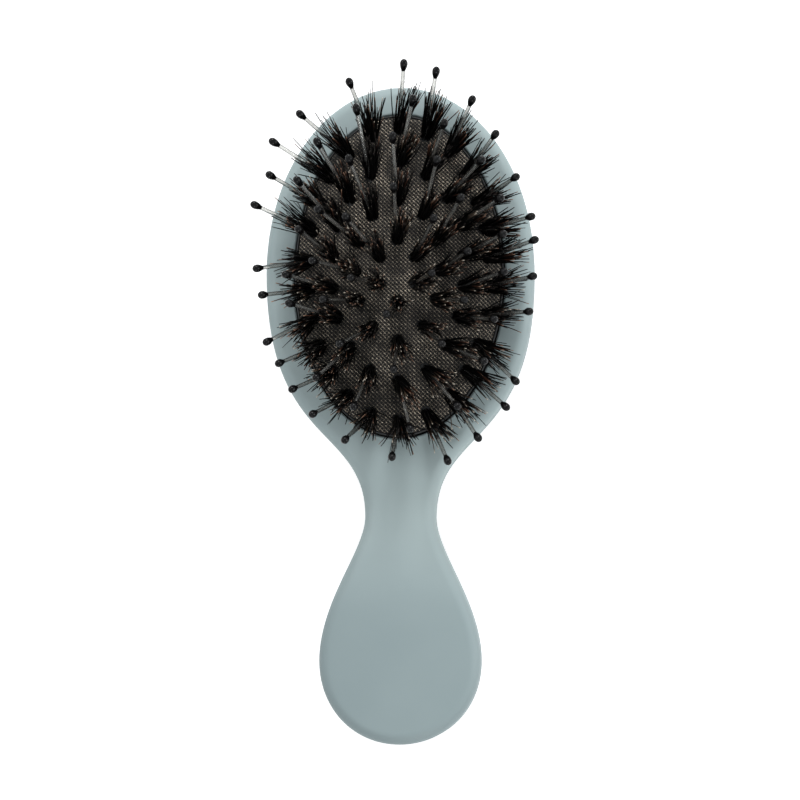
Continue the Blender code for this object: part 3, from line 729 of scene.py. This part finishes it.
def bakeDraft(draft):
    # the draft's mesh with its modifiers worked in; the draft itself is removed
    ready = draft.evaluated_get(bpy.context.evaluated_depsgraph_get())
    mesh = bpy.data.meshes.new_from_object(ready)
    bpy.data.objects.remove(draft)
    return mesh


def solidCloth(mesh):
    cloth = newObject("cloth_draft", mesh)
    wall = cloth.modifiers.new("thickness", "SOLIDIFY")
    wall.thickness = cushion["clothThickness"]
    wall.offset = -1
    return bakeDraft(cloth)


weave = {
    "lightYarn": (0.640, 0.560, 0.445),
    "darkYarn": (0.290, 0.248, 0.195),
    "paintedFlankShade": 0.12,                # painted shade on a yarn's flanks, as a share of its crest
    # painted shade in the gaps between the yarns
    "paintedGapShade": (0.002, 0.002, 0.002),
    "paintedShadeStops": (0.15, 0.62, 0.95),    # heights of a gap, a flank and a crest, for the painted shade
    "lightWidth": 0.18,             # half width of a yarn, as a share of the pitch
    "darkWidth": 0.16,
    "wave": 0.20,                   # how far a yarn sinks and rises over the others
    "turn": 45.0,
    "wander": 0.40,                 # how far the yarns stray, in yarns, and how often
    "wanderScale": 1.3,
    "shader": {"Roughness": 0.80, "Specular IOR Level": 0.3, "Sheen Weight": 0.10, "Sheen Roughness": 0.5},
    "fibrePerMetre": 5200.0,
    "fibreRough": 0.7,
    # fibre by fibre tone, whose brightest spots are painted glints
    "fibreTonesAndGlints": ((0.36, 0.08), (0.52, 0.72), (0.66, 3.4)),
    "blotchesPerMetre": 190.0,          # slow light and dark over the cloth
    "blotchTones": ((0.34, 0.24), (0.66, 1.35)),
    "noiseDetail": 3.0,
    "bump": (0.7, 0.00015),
}


def wovenFinish():
    material, tree, shader = newMaterial("wovenCloth", weave["shader"])
    turned = wired(tree, "ShaderNodeMapping", "Vector", {
        "Vector": objectPlace(tree), "Location": (0, cushionY, 0),
        "Rotation": (0, 0, math.radians(weave["turn"])), "Scale": (cushion["yarnPitch"],) * 3,
    }, vector_type="TEXTURE")
    wander = noise(tree, turned, weave["wanderScale"], output="Color")
    shift = scaled(tree, vecCalc(tree, "SUBTRACT", wander, (0.5, 0.5, 0.5)), weave["wander"])
    place = splitVector(tree, vecCalc(tree, "ADD", turned, shift))

    def yarn(across, along, width, phase):
        # height of the yarns that run one way: round in section, over and under the others
        number = calc(tree, "ROUND", across)
        off = calc(tree, "DIVIDE", calc(tree, "ABSOLUTE", calc(tree, "SUBTRACT", across, number)), width)
        fall = calc(tree, "SUBTRACT", 1.0, calc(tree, "MULTIPLY", off, off), clamp=True)
        turn = calc(tree, "MULTIPLY", calc(tree, "ADD", calc(tree, "ADD", along, number), phase), math.pi)
        wave = calc(tree, "MULTIPLY_ADD", calc(tree, "COSINE", turn), weave["wave"], 1 - weave["wave"])
        return calc(tree, "MULTIPLY", calc(tree, "SQRT", fall), wave)

    light = yarn(place["X"], place["Y"], weave["lightWidth"], 0.0)
    dark = yarn(place["Y"], place["X"], weave["darkWidth"], 1.0)
    # painted shade: each yarn darkens with its height, down its flanks, where it dips under the crossing
    # yarns, and to near black in the gaps
    tones = []
    for strand, crest in ((light, weave["lightYarn"]), (dark, weave["darkYarn"])):
        shadedFlank = tuple(part * weave["paintedFlankShade"] for part in crest)
        tones.append(ramp(tree, strand, *zip(weave["paintedShadeStops"], (weave["paintedGapShade"], shadedFlank, crest))))
    lightTone, darkTone = tones
    colour = blendColour(tree, "MIX", calc(tree, "GREATER_THAN", light, dark), darkTone, lightTone)
    # fibre tone with painted glints at its brightest, then slow blotches of light and dark
    for perMetre, rough, stops in ((weave["fibrePerMetre"], weave["fibreRough"], weave["fibreTonesAndGlints"]),
                                   (weave["blotchesPerMetre"], 0.5, weave["blotchTones"])):
        pattern = noise(tree, objectPlace(tree), perMetre, weave["noiseDetail"], rough)
        shade = ramp(tree, pattern, *((position, (tone,) * 3) for position, tone in stops))
        colour = blendColour(tree, "MULTIPLY", 1.0, colour, shade)
    feed(tree, shader.inputs["Base Color"], colour)
    height = calc(tree, "MAXIMUM", light, dark)
    bumpInto(tree, shader, height, *weave["bump"])
    return material


clothFinish = wovenFinish()
cloth = addPiece("facing_cloth_weave", solidCloth(makeCloth()), "handle_body", "woven_cloth", clothFinish)
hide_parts("facing_cloth")
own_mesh(cloth)
print("cloth made:", len(cloth.data.polygons), "faces")


# Bristles, grown by Geometry Nodes from the roots of a ring

bristles = {
    "hairs": 60,
    "length": {"centre": 0.0094, "inner": 0.0094, "middle": 0.0102, "outer": 0.0120},
    "spread": 0.44,                 # share of the length that the shortest hair lacks
    "rootRadius": 0.00128,
    "fan": {"centre": 0.09, "inner": 0.09, "middle": 0.12, "outer": 0.17},
    "stray": 0.070,
    "wild": 0.05,                   # share of the hairs that stand well out of their tuft
    "wildStray": 3.5,               # how much further these stray, and their extra length
    "wildLength": 0.15,
    "drift": (0.18, 0.0, 0.0),      # the bristles lean this much more than the pins
    "leastRise": 0.68,              # least rise of a hair for its length, so that it clears the bead
    "bend": 0.0010,
    "bendPower": 2.0,
    "hairRadius": 0.000145,
    "girth": (0.75, 1.2),           # thinnest and thickest hair, against that radius
    "taper": 0.35,
    "taperPower": 3.0,
    "segments": 6,
    "sides": 3,
    "seed": 7,
}
hairInputs = {
    "Geometry": "Geometry", "Hairs": "Int", "Segments": "Int", "Sides": "Int", "Seed": "Int",
    "Length": "Float", "Spread": "Float", "Root Radius": "Float", "Fan": "Float", "Stray": "Float",
    "Wild": "Float", "Bend": "Float", "Hair Radius": "Float", "Taper": "Float", "Material": "Material",
}


def bristleTree():
    tree = bpy.data.node_groups.new("bristleTuft", "GeometryNodeTree")
    for name, kind in hairInputs.items():
        tree.interface.new_socket(name, in_out="INPUT", socket_type="NodeSocket" + kind)
    tree.interface.new_socket("Geometry", in_out="OUTPUT", socket_type="NodeSocketGeometry")
    given = addNode(tree, "NodeGroupInput").outputs

    def drawn(low, high, offset):
        inputs = {2: low, 3: high, "Seed": calc(tree, "ADD", given["Seed"], float(offset))}
        return wired(tree, "FunctionNodeRandomValue", 1, inputs, data_type="FLOAT")

    def geo(kind, output, inputs, **settings):
        return wired(tree, "GeometryNode" + kind, output, inputs, **settings)

    def moved(geometry, offset):
        return geo("SetPosition", "Geometry", {"Geometry": geometry, "Offset": offset})

    def store(geometry, name, kind, value):
        inputs = {"Geometry": geometry, "Name": name, "Value": value}
        return geo("StoreNamedAttribute", "Geometry", inputs, data_type=kind, domain="POINT")

    def stored(name, kind):
        return geo("InputNamedAttribute", "Attribute", {"Name": name}, data_type=kind)

    def aside(first, second):
        # a step square to the bristle
        return vecCalc(tree, "ADD", scaled(tree, side, first), scaled(tree, other, second))

    inputs = {"Geometry": given["Geometry"], "Amount": given["Hairs"]}
    copies = geo("DuplicateElements", "Geometry", inputs, domain="POINT")
    axis = stored("lean", "FLOAT_VECTOR")
    skew = (0.3, 1.0, 0.1)          # a direction that no bristle has
    side = vecCalc(tree, "NORMALIZE", vecCalc(tree, "CROSS_PRODUCT", axis, skew))
    other = vecCalc(tree, "CROSS_PRODUCT", axis, side)
    turn = drawn(0.0, math.tau, 1)
    outward = aside(calc(tree, "COSINE", turn), calc(tree, "SINE", turn))
    reach = calc(tree, "SQRT", drawn(0.0, 1.0, 2))
    step = scaled(tree, outward, calc(tree, "MULTIPLY", reach, given["Root Radius"]))
    stray = aside(drawn(-1.0, 1.0, 3), drawn(-1.0, 1.0, 4))
    fan = calc(tree, "MULTIPLY", reach, given["Fan"])
    fanned = vecCalc(tree, "ADD", axis, scaled(tree, outward, fan))
    wild = calc(tree, "LESS_THAN", drawn(0.0, 1.0, 10), given["Wild"])
    astray = calc(tree, "MULTIPLY_ADD", wild, bristles["wildStray"], 1.0)
    astray = calc(tree, "MULTIPLY", given["Stray"], astray)
    heading = vecCalc(tree, "NORMALIZE", vecCalc(tree, "ADD", fanned, scaled(tree, stray, astray)))
    heading = vecCalc(tree, "MAXIMUM", heading, (-1.0, -1.0, bristles["leastRise"]))
    heading = vecCalc(tree, "NORMALIZE", heading)
    bend = scaled(tree, aside(drawn(-1.0, 1.0, 5), drawn(-1.0, 1.0, 6)), given["Bend"])
    short = calc(tree, "SUBTRACT", 1.0, calc(tree, "MULTIPLY", given["Spread"], drawn(0.0, 1.0, 7)))
    length = calc(tree, "MULTIPLY_ADD", wild, bristles["wildLength"], short)
    length = calc(tree, "MULTIPLY", given["Length"], length)

    points = moved(copies, step)
    for name, kind, value in (("heading", "FLOAT_VECTOR", heading), ("bend", "FLOAT_VECTOR", bend),
                              ("reach", "FLOAT", length), ("tone", "FLOAT", drawn(0.0, 1.0, 8)),
                              ("girth", "FLOAT", drawn(*bristles["girth"], 9))):
        points = store(points, name, kind, value)
    line = geo("CurvePrimitiveLine", "Curve", {"End": (0, 0, 1)}, mode="POINTS")
    line = geo("ResampleCurve", "Curve", {"Curve": line, "Count": given["Segments"]}, mode="COUNT")
    inputs = {"Vector": stored("heading", "FLOAT_VECTOR")}
    aim = wired(tree, "FunctionNodeAlignRotationToVector", "Rotation", inputs, axis="Z")
    inputs = {"Points": points, "Instance": line, "Rotation": aim, "Scale": stored("reach", "FLOAT")}
    hairs = geo("InstanceOnPoints", "Instances", inputs)
    hairs = geo("RealizeInstances", "Geometry", {"Geometry": hairs})
    share = addNode(tree, "GeometryNodeSplineParameter").outputs["Factor"]
    curl = scaled(tree, stored("bend", "FLOAT_VECTOR"), calc(tree, "POWER", share, bristles["bendPower"]))
    hairs = store(moved(hairs, curl), "along", "FLOAT", share)
    inputs = {"Resolution": given["Sides"], "Radius": given["Hair Radius"]}
    ring = geo("CurvePrimitiveCircle", "Curve", inputs, mode="RADIUS")
    thinned = calc(tree, "MULTIPLY", calc(tree, "POWER", share, bristles["taperPower"]), given["Taper"])
    girth = calc(tree, "MULTIPLY", calc(tree, "SUBTRACT", 1.0, thinned), stored("girth", "FLOAT"))
    inputs = {"Curve": hairs, "Profile Curve": ring, "Scale": girth, "Fill Caps": True}
    skin = geo("RealizeInstances", "Geometry", {"Geometry": geo("CurveToMesh", "Mesh", inputs)})
    skin = geo("SetMaterial", "Geometry", {"Geometry": skin, "Material": given["Material"]})
    feed(tree, addNode(tree, "NodeGroupOutput").inputs["Geometry"], skin)
    return tree


hairTones = {
    "root": (0.0015, 0.0015, 0.0015),
    "black": (0.003, 0.003, 0.003),
    "blackTip": (0.060, 0.052, 0.048),
    "copper": (0.072, 0.032, 0.020),
    "copperTip": (0.450, 0.280, 0.200),
    "blond": (0.110, 0.078, 0.055),
    "blondTip": (0.900, 0.820, 0.700),
    "colourStart": 0.62,            # along a hair, where the black ends
    "tipStart": 0.90,
    "copperFrom": 0.71,             # share of the hairs that are plain black
    "blondFrom": 0.90,
    "patches": 0.50,                # how much that share drifts from place to place
    "patchesPerMetre": 55.0,
    "towardsHandle": 3.0,           # and how much it falls for each metre towards the handle
    "shader": {"Roughness": 0.34, "Specular IOR Level": 0.10},
    "streaksPerMetre": 4000.0,
    "bump": (0.2, 0.00001),
}


def bristleFinish():
    material, tree, shader = newMaterial("boarBristle", hairTones["shader"])
    along = addNode(tree, "ShaderNodeAttribute", attribute_name="along").outputs["Fac"]
    tone = addNode(tree, "ShaderNodeAttribute", attribute_name="tone").outputs["Fac"]
    place = objectPlace(tree)
    patch = calc(tree, "SUBTRACT", noise(tree, place, hairTones["patchesPerMetre"], 1.0), 0.5)
    tone = calc(tree, "MULTIPLY_ADD", patch, hairTones["patches"], tone)
    lower = calc(tree, "SUBTRACT", cushionY, splitVector(tree, place)["Y"])
    tone = calc(tree, "ADD", tone, calc(tree, "MULTIPLY", lower, hairTones["towardsHandle"]))

    def lengthwise(name, start):
        # from the root of a hair to its tip
        return ramp(tree, along, (start, hairTones["root"]), (hairTones["tipStart"], hairTones[name]),
                    (1.0, hairTones[name + "Tip"]))

    colour = lengthwise("black", 0.0)
    for name in ("copper", "blond"):
        chosen = calc(tree, "GREATER_THAN", tone, hairTones[name + "From"])
        colour = blendColour(tree, "MIX", chosen, colour, lengthwise(name, hairTones["colourStart"]))
    feed(tree, shader.inputs["Base Color"], colour)
    bumpInto(tree, shader, noise(tree, place, hairTones["streaksPerMetre"]), *hairTones["bump"])
    return material


hairFinish = bristleFinish()
hairTree = bristleTree()
hairSockets = {
    item.name: item.identifier for item in hairTree.interface.items_tree if item.in_out == "INPUT"
}


def growBristles(name, frames, seed):
    mesh = bpy.data.meshes.new(f"{name}Roots")
    mesh.from_pydata([root for root, along in frames], [], [])
    lean = mesh.attributes.new("lean", "FLOAT_VECTOR", "POINT")
    for index, (root, along) in enumerate(frames):
        lean.data[index].vector = (along + Vector(bristles["drift"])).normalized()
    draft = newObject(f"{name}_growth", mesh)
    modifier = draft.modifiers.new("bristles", "NODES")
    modifier.node_group = hairTree
    values = {
        "Hairs": bristles["hairs"], "Segments": bristles["segments"], "Sides": bristles["sides"],
        "Seed": bristles["seed"] + seed, "Length": bristles["length"][name],
        "Spread": bristles["spread"], "Root Radius": bristles["rootRadius"], "Fan": bristles["fan"][name],
        "Stray": bristles["stray"], "Wild": bristles["wild"], "Bend": bristles["bend"],
        "Hair Radius": bristles["hairRadius"], "Taper": bristles["taper"], "Material": hairFinish,
    }
    for label, value in values.items():
        modifier[hairSockets[label]] = value
    return bakeDraft(draft)


# Pins: a nylon shaft turned with its ball tip

shaftLook = {
    "cloudy": (0.72, 0.72, 0.69),
    "clear": (0.86, 0.86, 0.83),
    "cloudsPerMetre": 900.0,
    "edge": (0.04, 0.04, 0.04),     # painted shade at the sides of a shaft, standing in for the dark edges that refraction gives
    "edgeShadePower": 1.2,
    "edgeShadeStrength": 1.6,
    "shader": {"Roughness": 0.10, "Transmission Weight": 0.84, "IOR": 1.5, "Specular IOR Level": 0.5},
    "scuffsPerMetre": 5000.0,
    "bump": (0.15, 0.00001),
}
tipLook = {
    "dark": (0.002, 0.002, 0.002),
    "light": (0.004, 0.004, 0.005),
    "mottlePerMetre": 1500.0,
    "shader": {"Specular IOR Level": 0.15},
    "roughness": 0.03,
    "roughnessSpan": 0.04,
    "bump": (0.1, 0.00001),
}


def nylonFinish():
    material, tree, shader = newMaterial("clearNylon", shaftLook["shader"])
    place = objectPlace(tree)
    clouds = noise(tree, place, shaftLook["cloudsPerMetre"])
    cloudy = twoTone(tree, clouds, shaftLook["cloudy"], shaftLook["clear"])
    # painted shade: the shaft darkens towards its sides, in place of refraction
    side = addNode(tree, "ShaderNodeLayerWeight").outputs["Facing"]
    side = calc(tree, "POWER", side, shaftLook["edgeShadePower"])
    side = calc(tree, "MULTIPLY", side, shaftLook["edgeShadeStrength"], clamp=True)
    colour = blendColour(tree, "MIX", side, cloudy, (*shaftLook["edge"], 1.0))
    feed(tree, shader.inputs["Base Color"], colour)
    bumpInto(tree, shader, noise(tree, place, shaftLook["scuffsPerMetre"]), *shaftLook["bump"])
    return material


def tipFinish():
    material, tree, shader = newMaterial("blackTip", tipLook["shader"])
    mottle = noise(tree, objectPlace(tree), tipLook["mottlePerMetre"])
    feed(tree, shader.inputs["Base Color"], twoTone(tree, mottle, tipLook["dark"], tipLook["light"]))
    rough = calc(tree, "MULTIPLY_ADD", mottle, tipLook["roughnessSpan"], tipLook["roughness"])
    feed(tree, shader.inputs["Roughness"], rough)
    bumpInto(tree, shader, mottle, *tipLook["bump"])
    return material


nylon = nylonFinish()
blackTip = tipFinish()
pinShape = {
    # share along, share of the radius
    "shaft": ((0.0, 1.0), (0.25, 0.98), (0.5, 0.95), (0.75, 0.93), (1.0, 0.92)),
    "ball": ((0.0, 0.55), (0.08, 0.62), (0.24, 0.80), (0.42, 0.95), (0.58, 1.0), (0.72, 0.96), (0.84, 0.80),
             (0.93, 0.55), (0.98, 0.30)),
    "sides": 12,
    "sharpAngle": 60.0,
}


def makePins(name, frames):
    bm = bmesh.new()
    shaftLength = tufts["pinLength"] - tufts["ballLength"]
    ballFrom = shaftLength - tufts["ballOverlap"]
    profiles = (
        [(share * shaftLength, radius * tufts["pinRadius"]) for share, radius in pinShape["shaft"]],
        [(ballFrom + share * tufts["ballLength"], radius * tufts["ballRadius"])
         for share, radius in pinShape["ball"]],
    )
    angles = [side / pinShape["sides"] * math.tau for side in range(pinShape["sides"])]
    for root, along in frames:
        turn = along.to_track_quat("Z", "Y").to_matrix().to_4x4()
        placed = Matrix.Translation(root + along * tufts["pinSeat"]) @ turn
        for index, profile in enumerate(profiles):
            rings = []
            for height, radius in profile:
                corners = [(radius * math.cos(angle), radius * math.sin(angle), height) for angle in angles]
                rings.append([bm.verts.new(placed @ Vector(corner)) for corner in corners])
            before = len(bm.faces)
            skinRings(bm, rings)
            top = profile[-1][0] + (tufts["ballPoint"] if index else 0)
            for ring, height in ((rings[0], profile[0][0]), (rings[-1], top)):
                closeFan(bm, ring, placed @ Vector((0, 0, height)))
            bm.faces.ensure_lookup_table()
            for face in bm.faces[before:]:
                face.material_index = index
    return finishMesh(bm, f"{name}Pins", pinShape["sharpAngle"])


def makeBand(name, count, share):
    # the slice of backing that a ring of tufts is rooted in
    bm = bmesh.new()
    reach, high = tufts["bandHalfWidth"], cushion["underCloth"]
    low = high + tufts["bandThickness"]
    rings = [[], [], [], []]
    for place, outward in evenPlaces(share, max(2 * count, tufts["bandSteps"]), 0.5):
        for ring, (step, drop) in zip(rings, ((-reach, low), (reach, low), (reach, high), (-reach, high))):
            ring.append(bm.verts.new(onCrown(*(place + outward * step), drop)))
    skinRings(bm, rings, joined=True)
    return finishMesh(bm, f"{name}Band")


for number, (ringName, share) in enumerate(tufts["rings"]):
    frames = tuftRings[ringName]
    rider = f"{ringName}_ring"
    grown = growBristles(ringName, frames, number)
    hair = addPiece(f"{ringName}_bristles", grown, rider, "boar_bristle", hairFinish)
    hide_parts(f"{ringName}_tufts")
    backing = makeBand(ringName, len(frames), share)
    band = addPiece(f"{ringName}_backing", backing, rider, "black_rubber", rubberFinish)
    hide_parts(f"{ringName}_tufts")
    pins = addPiece(f"{ringName}_pins", makePins(ringName, frames), rider, "nylon", nylon, blackTip)
    nodes = [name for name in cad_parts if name.startswith(f"{ringName}_pin_")]
    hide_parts(*(nodes or [f"{ringName}_tufts"]))
    print(ringName, "tufts grown:", len(hair.data.polygons), "faces")


# Floor, light and backdrop

studio = {
    "floorSize": 4.0,
    "floorDrop": 0.0004,
    "floorColour": (0.78, 0.78, 0.78),
    "floorShader": {"Roughness": 0.9, "Specular IOR Level": 0.0},
    "white": 0.72,                  # shown to the camera on top of the lit floor
    "worldColour": (0.95, 0.98, 1.0),
    "worldStrength": 0.28,
    "lights": (
        # name, place, size, power
        ("topBox", (0.08, 0.50, 0.34), 0.20, 1.90),
        ("handleBox", (0.10, -0.50, 0.26), 0.20, 0.80),
        ("rightFill", (0.70, -0.02, 0.22), 0.26, 1.74),
        ("leftFill", (-0.30, 0.16, 0.38), 0.20, 0.64),
    ),
}


def strengthSeen(tree, unseen=0.0):
    # white to the camera, to gloss and through clear plastic, and the unseen strength as light
    rays = addNode(tree, "ShaderNodeLightPath")
    strength = unseen
    for kind in ("Is Camera Ray", "Is Glossy Ray", "Is Transmission Ray"):
        strength = calc(tree, "MAXIMUM", strength, rays.outputs[kind])
    return strength


def addStage():
    mesh = bpy.data.meshes.new("floor")
    half, level = studio["floorSize"] / 2, -studio["floorDrop"]
    corners = [(-half, -half, level), (half, -half, level), (half, half, level), (-half, half, level)]
    mesh.from_pydata(corners, [], [(0, 1, 2, 3)])
    floor = newObject("floor", mesh)
    material, tree, shader = newMaterial("paleFloor", studio["floorShader"])
    shader.inputs["Base Color"].default_value = (*studio["floorColour"], 1.0)
    shine = addNode(tree, "ShaderNodeEmission")
    feed(tree, shine.inputs["Strength"], calc(tree, "MULTIPLY", strengthSeen(tree), studio["white"]))
    both = addNode(tree, "ShaderNodeAddShader")
    tree.links.new(shader.outputs[0], both.inputs[0])
    tree.links.new(shine.outputs[0], both.inputs[1])
    tree.links.new(both.outputs[0], tree.nodes["Material Output"].inputs["Surface"])
    mesh.materials.append(material)


def addLight():
    world = bpy.data.worlds.new("studioWorld")
    bpy.context.scene.world = world
    world.use_nodes = True
    tree = world.node_tree
    sky = tree.nodes["Background"]
    sky.inputs["Color"].default_value = (*studio["worldColour"], 1.0)
    feed(tree, sky.inputs["Strength"], strengthSeen(tree, studio["worldStrength"]))
    for name, place, size, power in studio["lights"]:
        data = bpy.data.lights.new(name, "AREA")
        data.shape = "DISK"
        data.size = size
        data.energy = power
        light = newObject(name, data)
        light.location = place
        light.rotation_euler = (Vector(place) - view["target"]).to_track_quat("Z", "Y").to_euler()


addStage()
addLight()
bpy.context.scene.view_settings.view_transform = "Standard"

print("scene ready")
